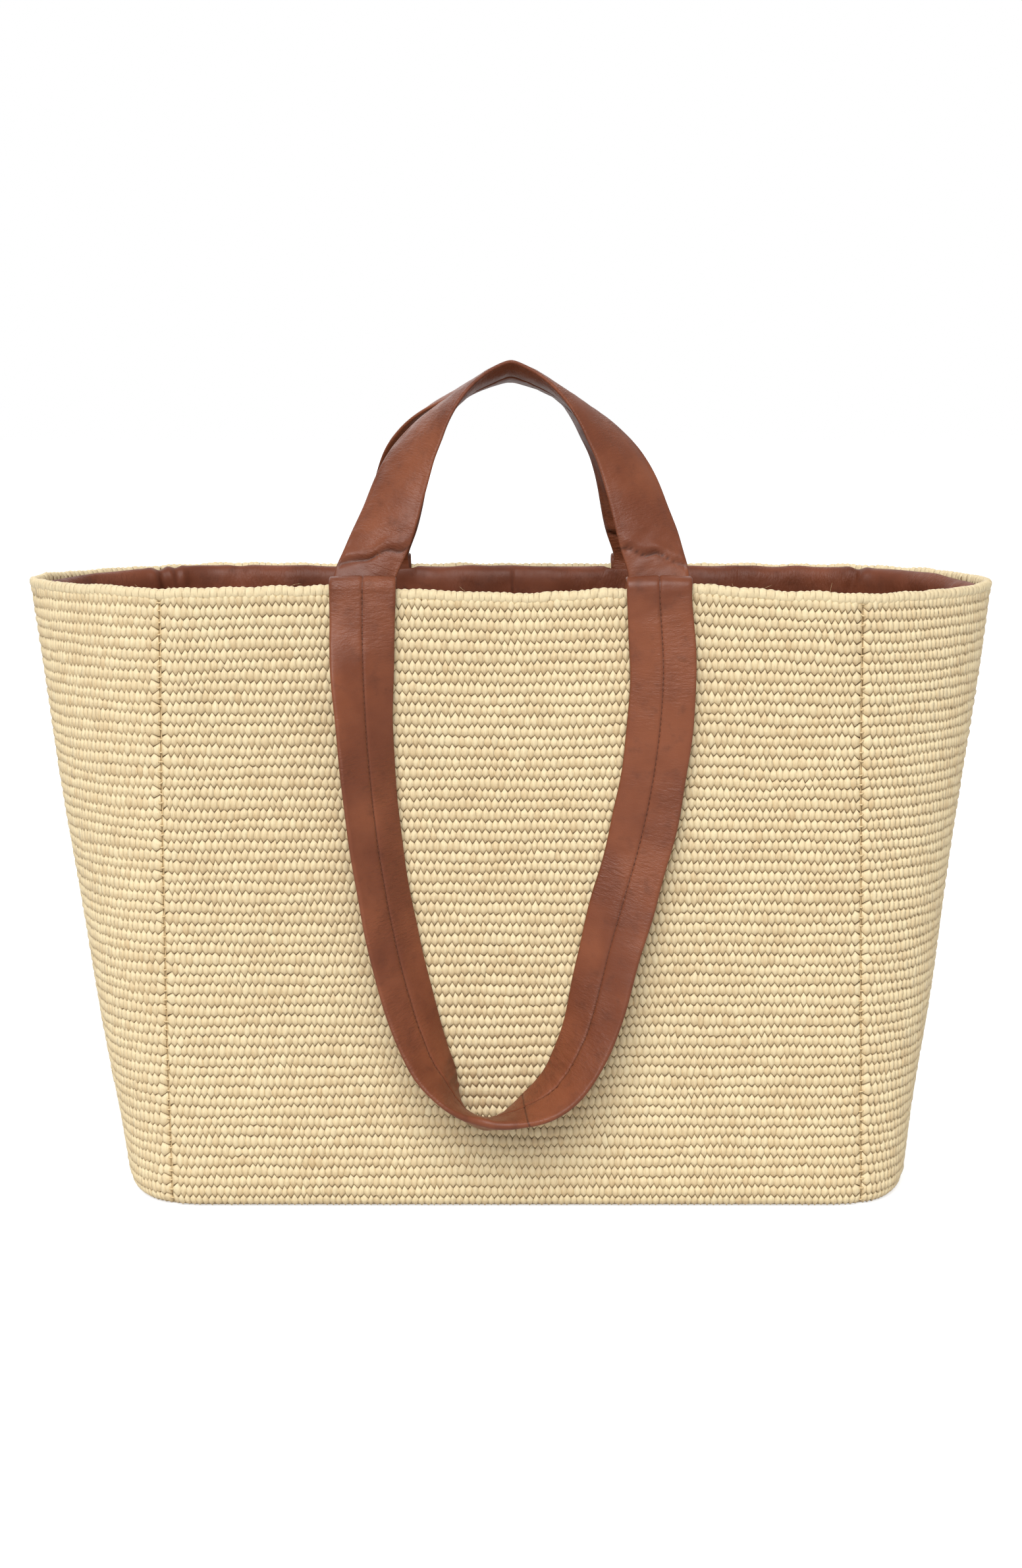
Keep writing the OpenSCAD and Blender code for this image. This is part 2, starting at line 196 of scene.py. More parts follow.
def mixed(add, factor, a, b):
    """The colour that goes from a to b as factor goes from 0 to 1."""
    node = add("ShaderNodeMix", {0: factor}, data_type="RGBA")
    for socket, value in ((node.inputs[6], a), (node.inputs[7], b)):
        if isinstance(value, bpy.types.NodeSocket):
            node.id_data.links.new(value, socket)
        else:
            socket.default_value = (*value, 1)
    return node.outputs[2]


def ranged(add, value, low, high, to_low=0.0, to_high=1.0):
    node = add("ShaderNodeMapRange", {"Value": value, "From Min": low, "From Max": high,
                                      "To Min": to_low, "To Max": to_high},
               interpolation_type="SMOOTHSTEP")
    return node.outputs["Result"]


def plus(add, a, b, share=1.0):
    """The value a + b * share."""
    return add("ShaderNodeMath", {0: b, 1: share, 2: a}, operation="MULTIPLY_ADD").outputs[0]


def attribute(add, name, output="Fac"):
    return add("ShaderNodeAttribute", attribute_name=name).outputs[output]


def bumped(add, link, height, strength, distance, under=None):
    values = {"Height": height, "Strength": strength, "Distance": distance * MM}
    if under:
        values["Normal"] = under
    node = add("ShaderNodeBump", values)
    link(node.outputs["Normal"], "Normal")
    return node.outputs["Normal"]


def noise_at(add, vector, scale, detail=3.0, roughness=0.55, stretch=(1, 1, 1)):
    mapping = add("ShaderNodeMapping", {"Vector": vector, "Scale": stretch})
    return add("ShaderNodeTexNoise", {"Vector": mapping.outputs[0], "Scale": scale, "Detail": detail,
                                      "Roughness": roughness}).outputs["Fac"]


def straw_material(name, light, middle, dark):
    """Raffia: flat shiny fibres with streaks along each stitch, with painted shade where stitches meet and
    painted light on each stitch, lighter at its top and darker at its bottom.
    """
    material, _, add, link = new_material(name, 0.5, 0.5)
    along = attribute(add, "along", "Vector")
    fibre = noise_at(add, along, 1.0, 4, 0.65, (2.8, 0.24, 1))
    split = noise_at(add, along, 1.0, 2, 0.5, (7, 0.5, 1))
    patch = noise_at(add, along, 0.02, 2, 0.5)
    # Painted light: the stitch attribute read here adds lighter tops and darker bottoms and junctions to each
    # stitch's random tone.
    blend = plus(add, plus(add, 0.0, fibre, 0.9), attribute(add, "tone"), 0.75)
    blend = plus(add, blend, patch, 0.2)
    body = mixed(add, ranged(add, blend, 0.3, 1.35), middle, light)
    body = mixed(add, ranged(add, split, 0.62, 0.8, 0, 0.35), body, dark)
    # Painted shade: the straw goes toward the dark colour in the grooves where stitches meet.
    edge = ranged(add, plus(add, attribute(add, "groove"), fibre, 0.16), 0.46, 0.98)
    link(mixed(add, edge, body, dark), "Base Color")
    link(ranged(add, fibre, 0.3, 0.7, 0.34, 0.6), "Roughness")
    bumped(add, link, plus(add, fibre, split, 0.5), 0.7, 0.55)
    return material


def leather_material(name, light, middle, dark, roughness, wrinkles, specular):
    """Smooth leather: pebbled grain, pull-up patches, fine wrinkles across the length in places, and painted
    shade in creases, folds and seams.
    """
    material, _, add, link = new_material(name, roughness, specular)
    where = add("ShaderNodeTexCoord").outputs["Object"]
    patch = noise_at(add, where, 28, 3, 0.55)
    cloud = noise_at(add, where, 160, 4, 0.6)
    pore = add("ShaderNodeTexVoronoi", {"Vector": where, "Scale": 1500.0}).outputs["Distance"]
    fine = noise_at(add, where, 2600, 2, 0.5)
    base = mixed(add, ranged(add, patch, 0.35, 0.68), middle, light)
    base = mixed(add, ranged(add, cloud, 0.5, 0.8, 0, 0.3), base, dark)
    # Painted shade: darker where the crease attribute is high, in creases, folds and seam grooves.
    crease = ranged(add, attribute(add, "crease"), 0.1, 1.0, 0, 0.8)
    link(mixed(add, crease, base, dark), "Base Color")
    link(ranged(add, cloud, 0.3, 0.7, roughness - 0.05, roughness + 0.07), "Roughness")
    wrinkle = noise_at(add, attribute(add, "along", "Vector"), 1.0, 3, 0.6, wrinkles)
    loose = ranged(add, noise_at(add, where, 24, 2, 0.5), 0.42, 0.62, 0.15, 1.0)
    under = bumped(add, link, cloud, 0.25, 0.3)
    under = bumped(add, link, plus(add, 0.0, wrinkle, loose), 0.8, 0.8, under)
    bumped(add, link, plus(add, pore, fine, 0.5), 0.3, 0.09, under)
    return material


def thread_material(name, colour, dark):
    material, _, add, link = new_material(name, 0.7, 0.3)
    where = add("ShaderNodeTexCoord").outputs["Object"]
    strand = add("ShaderNodeTexWave", {"Vector": where, "Scale": 900.0, "Distortion": 1.5},
                 bands_direction="DIAGONAL").outputs["Fac"]
    link(mixed(add, strand, dark, colour), "Base Color")
    bumped(add, link, strand, 0.5, 0.1)
    return material


def cloth_material(name, colour, dark):
    """Plain-woven cotton: crossing threads and slight slubs."""
    material, shader, add, link = new_material(name, 0.85, 0.2)
    where = add("ShaderNodeTexCoord").outputs["Object"]
    waves = [add("ShaderNodeTexWave", {"Vector": where, "Scale": 420.0, "Distortion": 0.6},
                 bands_direction=direction).outputs["Fac"] for direction in ("X", "Y", "Z")]
    woven = plus(add, 0.0, plus(add, waves[0], waves[1]), waves[2])
    slub = noise_at(add, where, 90, 3, 0.6)
    base = mixed(add, ranged(add, woven, 0.0, 1.4), dark, colour)
    link(mixed(add, ranged(add, slub, 0.35, 0.75, 0, 0.4), base, dark), "Base Color")
    bumped(add, link, woven, 0.4, 0.15)
    shader.inputs["Sheen Weight"].default_value = 0.15
    return material


def board_material(name, colour, dark):
    material, _, add, link = new_material(name, 0.6, 0.3)
    where = add("ShaderNodeTexCoord").outputs["Object"]
    speck = noise_at(add, where, 500, 4, 0.7)
    link(mixed(add, ranged(add, speck, 0.3, 0.7), dark, colour), "Base Color")
    bumped(add, link, speck, 0.3, 0.2)
    return material


STRAW = straw_material("straw", (0.85, 0.71, 0.445), (0.64, 0.465, 0.25), (0.20, 0.115, 0.045))
STRAW_THREAD = thread_material("straw_thread", (0.80, 0.64, 0.39), (0.56, 0.40, 0.20))
TAN = leather_material("tan_leather", (0.215, 0.063, 0.026), (0.15, 0.040, 0.016), (0.04, 0.011, 0.005),
                       roughness=0.42, wrinkles=(0.28, 0.9, 0.3), specular=0.32)
FACING = leather_material("facing_leather", (0.19, 0.056, 0.027), (0.125, 0.035, 0.016),
                          (0.03, 0.009, 0.005), roughness=0.45, wrinkles=(0.8, 0.25, 0.3),
                          specular=0.22)
LEATHER_THREAD = thread_material("leather_thread", (0.17, 0.055, 0.025), (0.09, 0.026, 0.012))
LINING = cloth_material("lining_cloth", (0.62, 0.50, 0.34), (0.42, 0.32, 0.20))
BOARD = board_material("base_board", (0.30, 0.23, 0.16), (0.20, 0.15, 0.10))


# ---- Outline of the bag ----

V_LEVELS = np.linspace(-0.04, 1.06, 56)
SHARES = np.linspace(0, 1, 301)


def quarter(v):
    """Points of a quarter of the outline at height share v, from the middle of the front to the right tip."""
    power = 2 / (BASE_POWER + (RIM_POWER - BASE_POWER) * v)
    flat = BASE_FLAT + (RIM_FLAT - BASE_FLAT) * v
    reach = BASE_HALF + (RIM_HALF - BASE_HALF) * v + SIDE_SWELL * math.sin(math.pi * v) - flat
    t = np.linspace(0, math.pi / 2, 241)
    x = flat + reach * np.sin(t) ** power
    y = -WALL_Y * np.clip(np.cos(t), 0, 1) ** power
    return np.concatenate([[0], x]), np.concatenate([[-WALL_Y], y])


def resampled(v):
    """A quarter at even steps of its length, with that length and the seam's distance along it."""
    x, y = quarter(v)
    s = np.concatenate([[0], np.cumsum(np.hypot(np.diff(x), np.diff(y)))])
    seam = np.interp(SEAM_BASE + (SEAM_RIM - SEAM_BASE) * v, x, s)
    return np.interp(SHARES * s[-1], s, x), np.interp(SHARES * s[-1], s, y), s[-1], seam


OUT_X, OUT_Y, LENGTHS, SEAMS = (np.array(column) for column in zip(*[resampled(v) for v in V_LEVELS]))


def quarter_length(z):
    return np.interp(z / RIM_H, V_LEVELS, LENGTHS)


def half_width(side, z):
    """Distance along a row from the middle of a side to its seam."""
    seam = np.interp(z / RIM_H, V_LEVELS, SEAMS)
    return quarter_length(z) - seam if abs(side) == 1 else seam


def outline(s, z):
    """Points on the outline at distance s from the middle of the front, at height z."""
    v = np.clip((z / RIM_H - V_LEVELS[0]) / (V_LEVELS[1] - V_LEVELS[0]), 0, len(V_LEVELS) - 1.001)
    i = v.astype(int)
    f = v - i
    length = quarter_length(z)
    r = (s + 2 * length) % (4 * length) - 2 * length
    back = np.abs(r) > length
    n = np.where(back, 2 * length - np.abs(r), np.abs(r)) / length * (len(SHARES) - 1)
    n = np.clip(n, 0, len(SHARES) - 1.001)
    k = n.astype(int)
    g = n - k

    def look(table):
        low = table[i, k] * (1 - g) + table[i, k + 1] * g
        high = table[i + 1, k] * (1 - g) + table[i + 1, k + 1] * g
        return low * (1 - f) + high * f
    return np.sign(r) * look(OUT_X), np.where(back, -1, 1) * look(OUT_Y)


# Rise of the front rim along its length, where the straps lift it and where it slumps between them
RIM_WAVE_X = [-250, -205, -168, -95, -45, 0, 50, 88, 130, 173, 250]
RIM_WAVE_Z = [0.2, 1.4, 0.9, 2.6, 0.6, -1.4, 0.9, 3.2, 0.2, -1.7, -2.2]


def rim_wave(x, y):
    front = np.interp(x, RIM_WAVE_X, RIM_WAVE_Z)
    back = 1.1 + 0.7 * smooth_noise(11, x / 140)
    share = ramp(y, -WALL_Y, WALL_Y)
    return front * (1 - share) + back * share


def wall_point(side, a, z, off):
    """Points of the wall, off in from the outside of the straw, with the walls' slump and waves."""
    a, z, off = np.broadcast_arrays(*(np.asarray(q, float) for q in (a, z, off)))
    s = side * quarter_length(z) + a
    x0, y0 = outline(s - 1.5, z)
    x1, y1 = outline(s + 1.5, z)
    x, y = outline(s, z)
    n = np.hypot(x1 - x0, y1 - y0)
    off = off + FOOT_TURN * np.clip(1 - z / FOOT_H, 0, 1) ** 2
    off = off + 0.5 * ramp(z, 0, 40) * (1 + smooth_noise(21, x / 110, y / 90, z / 120))
    x, y = x - off * (y1 - y0) / n, y + off * (x1 - x0) / n
    z = z + rim_wave(x, y) * np.exp(-np.clip(RIM_H - z, 0, None) / 60)
    x = x + 3 * np.clip(1 - z / 260, 0, 1) ** 1.6
    return np.stack([x, y, z], -1)


# ---- Woven straw ----

def weave(name, widths, level_at, point, seed, seam_sink=1.3):
    """A closed panel of straw in rows of pointed stitches that interlock with the rows next to them.

    widths is the half width of each row, level_at(j, a) the place of the line between rows j - 1 and j,
    and point(a, b, depth) the place of a point in the row frame. Where two rows meet there is a zigzag of
    points. The cell of each stitch runs between two zigzags, with a raised middle inside it."""
    random = np.random.default_rng(seed)
    widths = np.asarray(widths)
    rows = len(widths)
    last = np.array([int(((w - 0.35 * STITCH_W) * 2 / STITCH_W - r % 2) // 2) * 2 + r % 2
                     for r, w in enumerate(widths)])
    span = last.max() + 2
    m = np.arange(-span, span + 1)
    width = 2 * span + 1

    # Junctions of the zigzag lines
    level, column = (q.ravel() for q in np.meshgrid(np.arange(rows + 1), m, indexing="ij"))
    high = (column - level) % 2 == 1
    row_a, row_b = np.clip(level - 1, 0, rows - 1), np.clip(level, 0, rows - 1)
    near = np.minimum(last[row_a], last[row_b]) + 1
    limit = np.maximum(widths[row_a], widths[row_b]) - SEAM_SLOT
    a = column * STITCH_W / 2 + random.normal(0, 0.22, len(column))
    a = np.where(np.abs(column) >= near, np.sign(column) * np.maximum(limit, np.abs(a)), a)
    a = np.sign(a) * np.where(np.abs(a) > limit, limit + 0.05 * (np.abs(a) - limit), np.abs(a))
    depth_of_zigzag = ZIGZAG * (1 + 0.22 * smooth_noise(seed + 1, a / 30, level / 5))
    b = level_at(level, a) + np.where(high, 0.5, -0.5) * depth_of_zigzag
    b = b + random.normal(0, 0.2, len(b))
    # The groove values of the points are painted shade: darkest in the low notches of the zigzags, less at
    # their high points.
    junction = dict(a=a, b=b, depth=np.where(high, 1.35, 2.3), groove=np.where(high, 0.68, 1.0),
                    limit=limit)

    # Stitch cells
    cell_row, cell_m = (q.ravel() for q in np.meshgrid(np.arange(rows), m, indexing="ij"))
    keep = ((cell_m - cell_row) % 2 == 0) & (np.abs(cell_m) <= last[cell_row])
    cell_row, cell_m = cell_row[keep], cell_m[keep]
    count = len(cell_row)

    def at(levels, columns):
        return levels * width + columns + span
    B, T = at(cell_row, cell_m), at(cell_row + 1, cell_m)
    LL, LR = at(cell_row, cell_m - 1), at(cell_row, cell_m + 1)
    UL, UR = at(cell_row + 1, cell_m - 1), at(cell_row + 1, cell_m + 1)

    # Points halfway up the sides that neighbours in a row share
    mid_a, mid_b = ((q[:-width] + q[width:]) / 2 for q in (a, b))
    middle = dict(a=mid_a, b=mid_b, depth=0.62 + random.normal(0, 0.1, mid_a.size),
                  groove=np.full(mid_a.size, 0.34), limit=np.minimum(limit[:-width], limit[width:]))
    first_mid = len(a)
    ML, MR = (first_mid + cell_row * width + q + span for q in (cell_m - 1, cell_m + 1))

    # Raised middle of each stitch
    centre_a = (a[LL] + a[LR] + a[UL] + a[UR]) / 4
    centre_b = (b[LL] + b[LR] + b[UL] + b[UR]) / 4
    plump = 1 + random.normal(0, 0.28, count)
    skew = random.normal(0, 0.2, count)
    parts = []
    # For each part, the fifth number is painted groove shade and the last is painted light, lighter toward
    # the top of the stitch and darker toward its bottom.
    for corner, share_a, share_b, depth, groove, painted_light in (
            (B, 0.7, 0.80, 0.62, 0.36, -0.30), (LR, 0.84, 0.68, 0.45, 0.2, -0.2),
            (UR, 0.84, 0.74, 0.60, 0.16, 0.1), (T, 0.66, 0.76, 0.72, 0.12, 0.28),
            (UL, 0.84, 0.74, 0.60, 0.16, 0.1), (LL, 0.84, 0.68, 0.45, 0.2, -0.2)):
        parts.append((centre_a + share_a * (a[corner] - centre_a) + skew * 0.3,
                      centre_b + share_b * (b[corner] - centre_b), depth * plump, groove, painted_light))
    parts.append((centre_a + skew - 0.05, centre_b - 0.95, 0.02 + 0.25 * (1 - plump), 0.0, -0.12))
    parts.append((centre_a + skew + 0.05, centre_b + 0.75, 0.08 + 0.25 * (1 - plump), 0.0, 0.16))
    first_part = first_mid + mid_a.size
    b_, lr, ur, t_, ul, ll, cl, cu = (first_part + i * count + np.arange(count) for i in range(8))
    inner = dict(a=np.concatenate([p[0] for p in parts]), b=np.concatenate([p[1] for p in parts]),
                 depth=np.concatenate([p[2] for p in parts]),
                 groove=np.concatenate([np.full(count, p[3]) for p in parts]),
                 limit=np.tile((limit[LL] + limit[UL]) / 2, 8))
    every = {k: np.concatenate([junction[k], middle[k], inner[k]]) for k in inner}

    cell_tone = 0.5 + random.normal(0, 0.13, count)
    cell_tone = np.clip(cell_tone + 0.07 * smooth_noise(seed + 2, centre_a / 45, centre_b / 30), 0, 1)
    # Painted light and shade: each part's painted light is added to the stitch's random tone, and the
    # junction points are set darker.
    tone = np.concatenate([np.full(first_part, 0.3)] + [cell_tone + part[4] for part in parts])
    to_seam = every["limit"] - np.abs(every["a"])
    depth = every["depth"] + seam_sink * bell(np.clip(to_seam, 0, None), 2.0)
    front = point(every["a"], every["b"], depth)
    behind = point(every["a"][:first_part], every["b"][:first_part], np.full(first_part, STRAW_T))

    quads = [(B, LR, lr, b_), (UR, T, t_, ur), (T, UL, ul, t_), (LL, B, b_, ll),
             (lr, ur, cu, cl), (ul, ll, cl, cu)]
    triangles = [(LR, MR, lr), (MR, ur, lr), (MR, UR, ur), (UL, ML, ul), (ML, ll, ul), (ML, LL, ll),
                 (b_, lr, cl), (ur, t_, cu), (t_, ul, cu), (ll, b_, cl)]
    shift = len(front)
    quads += [(LL + shift, ML + shift, MR + shift, LR + shift),
              (ML + shift, UL + shift, UR + shift, MR + shift)]
    triangles += [(B + shift, LL + shift, LR + shift), (UL + shift, T + shift, UR + shift)]

    # Edges used by one stitch only are the edge of the panel
    loop = (B, LR, MR, UR, T, UL, ML, LL)
    start = np.concatenate(loop)
    end = np.concatenate(loop[1:] + loop[:1])
    code, reverse = start.astype(np.int64) * shift + end, end.astype(np.int64) * shift + start
    rim = ~np.isin(code, reverse)
    p, q = start[rim], end[rim]
    quads.append((q, p, p + shift, q + shift))

    faces = [np.concatenate([np.stack(f, -1) for f in quads]),
             np.concatenate([np.stack(f, -1) for f in triangles])]
    points = np.concatenate([front, behind])
    used = np.unique(np.concatenate([f.ravel() for f in faces]))
    new_index = np.zeros(len(points), int)
    new_index[used] = np.arange(len(used))
    along = np.stack([every["a"], every["b"], np.full(shift, seed * 3.7)], -1)
    along = np.concatenate([along, along[:first_part]])[used]
    # Painted shade on the back of the panel and its edges.
    groove = np.concatenate([every["groove"], np.full(first_part, 0.9)])[used]
    tone = np.concatenate([tone, np.full(first_part, 0.4)])[used]
    return make_piece(name, points[used], [new_index[f] for f in faces], STRAW,
                      along=along, groove=groove, tone=tone)


def row_line(side):
    """Heights of the lines between rows on one side, with the small waves of hand work."""
    def at(level, a):
        z = ROW_BOTTOM + ROW_H * level
        z = z + 0.55 * smooth_noise(31 + side, a / 60, level / 3.2) * ramp(level, 0, 3)
        z = z + 0.30 * smooth_noise(41 + side, a / 13, level / 2.1) * ramp(level, 0, 3)
        return np.clip(z, 0.6, None)
    return at


def wall_piece(name, side, seed):
    def point(a, b, depth):
        under = 1.6 * np.clip(1 - b / 4.5, 0, 1) ** 2
        return wall_point(side, a, np.clip(b, 0.25, None), depth + under)
    widths = [half_width(side, ROW_BOTTOM + ROW_H * (r + 0.5)) for r in range(ROWS)]
    piece = weave(name, widths, row_line(side), point, seed)
    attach(piece, "bag")
    return piece


for wall_name, wall_side, wall_seed in (("front", FRONT, 101), ("right_side", RIGHT, 102),
                                        ("back", BACK, 103), ("left_side", LEFT, 104)):
    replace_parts(wall_piece(f"{wall_name}_weave", wall_side, wall_seed), f"{wall_name}_panel")


# ---- Rings that follow the wall ----

def ring_piece(name, columns, profile, material, **values):
    """A closed ring round the bag. profile(share) gives offsets and heights, columns x points. values
    are functions of share, offset and height."""
    share = np.arange(columns)[:, None] / columns
    off, z = profile(share)
    a = (share * 4 - 2) * quarter_length(z)
    points = wall_point(FRONT, a, z, off)
    n = off.shape[1]
    faces = grid_faces(columns, n, True, True)
    attributes = {key: value(share, off, z).ravel() for key, value in values.items()}
    attributes["along"] = np.stack([np.broadcast_to(a, off.shape), z, off], -1).reshape(-1, 3)
    piece = make_piece(name, points.reshape(-1, 3), [faces], material, **attributes)
    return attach(piece, "bag")


PERIMETER = 4 * quarter_length(RIM_H)
LOBES = round(PERIMETER / 3.4)
BAND = np.array([[0.9, -5.6], [0.1, -4.6], [-0.25, -3.2], [-0.05, -1.6], [0.8, -0.45], [2.2, 0.0],
                 [3.6, -0.3], [4.5, -1.4], [4.8, -3.2], [4.7, -8.6], [3.4, -8.8], [2.2, -6.0]])


def band_pinch(share, z):
    """1 between the lobes of the rolled edge, 0 at the middle of each."""
    return np.abs(np.cos(math.pi * (share * LOBES - 0.05 * z + 0.25 * smooth_noise(51, share * 70))))


def band_profile(share):
    """The rolled edge over the rim: one soft lobe for each stitch, leaning a little."""
    off, z = BAND[None, :, 0], BAND[None, :, 1]
    pinch = band_pinch(share, z) ** 3
    lump = smooth_noise(52, share * LOBES / 2.6, z / 9)
    squeeze = 1 - 0.17 * pinch + 0.05 * lump
    lift = 0.45 * smooth_noise(53, share * 38)
    return 2.3 + (off - 2.3) * squeeze, RIM_H - 3 + (z + 3) * squeeze + lift


# The groove values of the rolled edge are painted shade in the pinches between its lobes; its tone is random.
band = ring_piece("rim_band", LOBES * 4, band_profile, STRAW,
                  groove=lambda share, off, z: 0.72 * band_pinch(share, z - RIM_H) ** 6,
                  tone=lambda share, off, z: 0.62 + 0.16 * smooth_noise(54, share * LOBES / 1.7 + 0 * z))

FACING_TOP = RIM_H - FACING_DROP
POCKET_HALF_W = 17
BOX_HALF_W, BOX_HALF_H = (RIBBON_W - 5) / 2, (END_DEPTH - 14) / 2
BOX_Z = FACING_TOP - 8 - BOX_HALF_H
BOX_CORNERS = np.array([[-1, -1], [1, -1], [1, 1], [-1, 1], [-1, -1]]) * [BOX_HALF_W, BOX_HALF_H]


def inside_pocket(x, y):
    """1 where the strap and handle ends pass between the straw and the facing, 0 elsewhere."""
    beside = np.abs(np.abs(x) - STRAP_X)
    return ramp(-beside, -POCKET_HALF_W - 4, -POCKET_HALF_W) * (np.abs(y) > WALL_Y - 6)


def box_stitch_distance(x, y, z):
    """Distance to the rectangle of stitching over the nearest pair of sewn-in ends."""
    beside = np.abs(np.abs(x) - STRAP_X) - BOX_HALF_W
    level = np.abs(z - BOX_Z) - BOX_HALF_H
    outside = np.hypot(np.clip(beside, 0, None), np.clip(level, 0, None))
    distance = np.where(np.maximum(beside, level) > 0, outside, -np.maximum(beside, level))
    return np.where(np.abs(y) > WALL_Y - 6, np.abs(distance), 99)


FACING_LOOP = np.array(
    [[5.3, -6], [5.3, -3], [5.9, -1.2], [7.1, -0.1], [8.7, 0.1], [10.3, -0.6], [11.7, -1.9],
     [12.6, -3.8]] + [[13.2, -6 - 2.6 * i] for i in range(18)] +
    [[12.9, -53], [12.2, -55.6], [11.2, -57.4], [10.4, -57.8], [9.9, -55], [10.0, -40], [10.0, -20]])
# Pleats of the facing, most near the ends of the bag: distance from the middle of the side, width, depth
PLEATS = {BACK: [(198, 3.2, 1.7), (189, 2.4, 1.2), (-196, 3.0, 1.5), (150, 4, 0.7), (-128, 5, 0.6),
                 (30, 6, 0.4)],
          FRONT: [(192, 3, 1.3), (-201, 3, 1.5), (-140, 4, 0.7), (118, 4, 0.6)]}


def facing_profile(share):
    """Padded leather roll: fat at the top, pulled in at the stitching, pleated near the ends."""
    off, h = FACING_LOOP[None, :, 0], FACING_LOOP[None, :, 1]
    tip = quarter_length(RIM_H)
    s = (share * 4 - 2) * tip + 0 * off
    z = FACING_TOP + h + 0 * s
    x, y = outline(s, np.full(s.shape, RIM_H))
    pocket = inside_pocket(x, y)
    seen = ramp(off, 10.5, 12.5)
    puff = 0.9 * np.sin(np.clip(-h / 54, 0, 1) * math.pi) ** 0.6
    puff = puff + 0.75 * smooth_noise(61, s / 46, z / 34) + 0.28 * smooth_noise(62, s / 13, z / 30)
    roll = 0.5 * ramp(off, 6, 9) * smooth_noise(63, s / 26, z / 40)
    off = off + seen * puff
    z = z + roll - 1.1 * pocket * ramp(h, -12, 0)
    off = off - 1.1 * seen * bell(box_stitch_distance(x, y, z), 1.3)
    for side, pleats in PLEATS.items():
        for place, width, depth in pleats:
            from_middle = (s - side * tip + 2 * tip) % (4 * tip) - 2 * tip
            lean = from_middle - place + 0.12 * h + 2 * smooth_noise(64, z / 25 + place)
            fold = bell(lean, width) - 0.6 * bell(np.abs(lean) - 1.9 * width, width)
            off = off - depth * seen * fold
            z = z - 0.6 * depth * ramp(h, -14, 0) * fold
    narrow = 11.6 + (off - 5.3) * 0.19
    z = z + 2.3 * ramp(y, 0, 70) * ramp(h, -30, 0)
    return off * (1 - pocket) + narrow * pocket, z


def facing_crease(share, off, z):
    """Painted shade: a dark line where the box stitching pulls the leather in."""
    s = (share * 4 - 2) * quarter_length(RIM_H) + 0 * off
    x, y = outline(s, np.full(s.shape, RIM_H))
    return 0.9 * bell(box_stitch_distance(x, y, z), 1.0)


facing = ring_piece("leather_facing", 800, facing_profile, FACING, crease=facing_crease)
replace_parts(facing, *[f"{side}_{layer}" for side in ("front", "back", "left", "right")
                      for layer in ("facing", "padding")])

LINING_Z = np.array([250, 243, 236, 228, 215, 200, 180, 160, 140, 120, 100, 80, 60, 40, 24, 14, 9])
LINING_OFF = np.array([10.9, 9.6, 7.6, 6.0] + [5.4] * 13)
LINING_T = 0.8
LINING_LOOP = np.concatenate([np.stack([LINING_OFF, LINING_Z], -1),
                              np.stack([LINING_OFF + LINING_T, LINING_Z], -1)[::-1]])


def lining_profile(share):
    """Lining cloth, hanging in slight folds below the facing."""
    off, z = LINING_LOOP[None, :, 0], LINING_LOOP[None, :, 1]
    s = share * PERIMETER
    loose = ramp(z, 250, 200) * ramp(z, 8, 60)
    fold = 1 + smooth_noise(71, s / 38 + 0 * z, z / 150)
    return off + 1.5 * loose * np.clip(fold, 0, None), z + 0 * share


lining = ring_piece("wall_lining", 320, lining_profile, LINING)
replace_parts(lining, "front_lining", "back_lining", "left_lining", "right_lining")


# ---- Seams ----

def tube(path, radius, sides):
    """Points and faces of a round thread along a path, closed at its ends."""
    path = np.asarray(path, float)
    along = unit(np.gradient(path, axis=0))
    across = unit(np.cross(along, [0.31, 0.2, 0.93]))
    up = np.cross(across, along)
    turn = np.linspace(0, 2 * math.pi, sides, endpoint=False)
    size = np.full(len(path), radius)
    size[[0, -1]] *= 0.4
    rings = (path[:, None] + size[:, None, None] * (np.cos(turn)[None, :, None] * across[:, None]
                                                    + np.sin(turn)[None, :, None] * up[:, None]))
    last = (len(path) - 1) * sides
    caps = [(0, i + 1, i) for i in range(1, sides - 1)]
    caps += [(last, last + i, last + i + 1) for i in range(1, sides - 1)]
    return rings.reshape(-1, 3), grid_faces(len(path), sides, False, True), np.array(caps)


def threads(name, paths, radius, material, sides=6):
    """One piece holding a short round thread along each path."""
    points, quads, triangles, first = [], [], [], 0
    for path in paths:
        p, q, t = tube(path, radius, sides)
        points.append(p)
        quads.append(q + first)
        triangles.append(t + first)
        first += len(p)
    return make_piece(name, np.concatenate(points), [np.concatenate(quads), np.concatenate(triangles)],
                      material)


# A cord down each upright seam, and a short thread across it at each row
random = np.random.default_rng(5)
seam_paths = []
for seam_side in (RIGHT, LEFT):
    for end in (-1, 1):
        heights = np.linspace(4, RIM_H - 5, 90)
        seam_paths.append(wall_point(seam_side, end * half_width(seam_side, heights), heights, 3.3))
        for k in range(ROWS):
            z = ROW_BOTTOM + ROW_H * (k + 0.5 + random.normal(0, 0.12))
            reach = random.uniform(1.3, 2.1)
            slope = random.normal(0.2, 0.35)
            u = np.array([-1, -0.6, 0, 0.6, 1])
            a = end * half_width(seam_side, z) + u * reach
            dip = np.array([2.9, 1.9, 1.5, 1.9, 2.9]) + random.normal(0, 0.3)
            seam_paths.append(wall_point(seam_side, a, z + slope * u, dip))
seam_threads = threads("seam_threads", seam_paths, 0.42, STRAW_THREAD)
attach(seam_threads, "bag")
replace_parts(seam_threads, "panel_seam_threads")


# ---- Base ----

